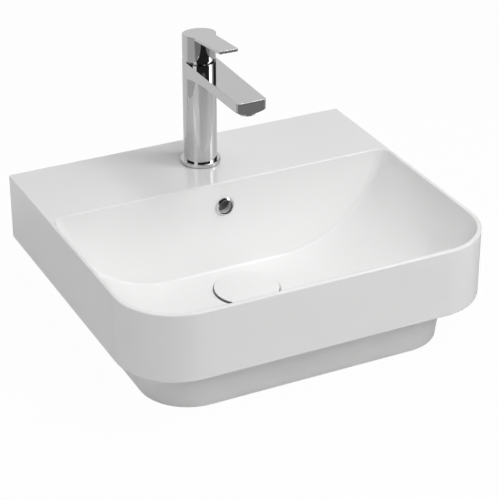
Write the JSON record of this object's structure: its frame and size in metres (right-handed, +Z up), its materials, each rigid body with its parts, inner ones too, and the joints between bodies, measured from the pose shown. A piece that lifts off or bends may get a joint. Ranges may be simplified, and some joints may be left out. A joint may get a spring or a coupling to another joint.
{
  "type": "countertop basin",
  "caption": "White glazed ceramic countertop basin on a set-back foot, with an overflow ring, a push-open waste and a chrome single-lever mixer tap on its rear deck.",
  "frame": {"origin": "centre of the foot's underside, on the plane that stands on the counter", "axes": "+Z up, +X to the right seen from the front, +Y back towards the wall"},
  "size_m": [0.5, 0.447, 0.4009],
  "materials": {
    "basin_glaze": "clear gloss glaze",
    "cover_glaze": "clear gloss glaze",
    "tap_chrome": "polished",
    "trim_chrome": "polished",
    "seal_rubber": "matt",
    "brass": "machined",
    "steel": "drawn",
    "disc_ceramic": "lapped",
    "grey_plastic": "moulded",
    "plug_plastic": "moulded"
  },
  "bodies": {
    "basin_unit": {"basin": "basin_glaze", "overflow_ring": "trim_chrome", "waste_flange_seal": "seal_rubber", "waste_body": "trim_chrome", "waste_base_seal": "seal_rubber", "waste_nut": "brass", "plug_guide": "grey_plastic", "plug_spring": "steel", "base_seal": "seal_rubber", "base_ring": "tap_chrome", "tap_body": "tap_chrome", "cartridge_seals": "seal_rubber", "cartridge_housing": "grey_plastic", "fixed_disc": "disc_ceramic", "cartridge_nut": "brass", "trim_ring": "tap_chrome", "aerator_housing": "trim_chrome", "aerator_insert": "grey_plastic", "aerator_washer": "seal_rubber", "fixing_stud": "steel", "fixing_pad": "seal_rubber", "fixing_plate": "steel", "fixing_nut": "brass"},
    "turn_stage": {"turn_carrier": "grey_plastic", "spindle_pin": "steel"},
    "lever": {"lever_handle": "tap_chrome", "lever_spindle": "brass", "lever_screw": "steel", "screw_plug": "plug_plastic"},
    "disc_stage": {"moving_disc": "disc_ceramic"},
    "plug": {"plug_stem": "steel", "plug_carrier": "brass", "plug_seal": "seal_rubber", "plug_cover": "cover_glaze"}
  },
  "joints": [
    {"name": "lever_turn", "type": "hinge", "parent": "basin_unit", "child": "turn_stage", "pos_m": [0, 0.1505, 0.305], "axis": [0, 0, 1], "range_deg": [-50, 50]},
    {"name": "lever_lift", "type": "hinge", "parent": "turn_stage", "child": "lever", "pos_m": [0, 0.1505, 0.305], "axis": [-1, 0, 0], "range_deg": [0, 22]},
    {"name": "disc_slide", "type": "slide", "parent": "turn_stage", "child": "disc_stage", "axis": [0, -1, 0], "range_m": [0, 0.0054]},
    {"name": "plug_press", "type": "slide", "parent": "basin_unit", "child": "plug", "axis": [0, 0, 1], "range_m": [-0.005, 0], "stiffness_N_per_m": 600, "springref_m": 0.006, "deforming": ["plug_spring"]}
  ],
  "couplings": [
    {"joint": "disc_slide", "follows": "lever_lift", "m_per_rad": 0.014}
  ]
}
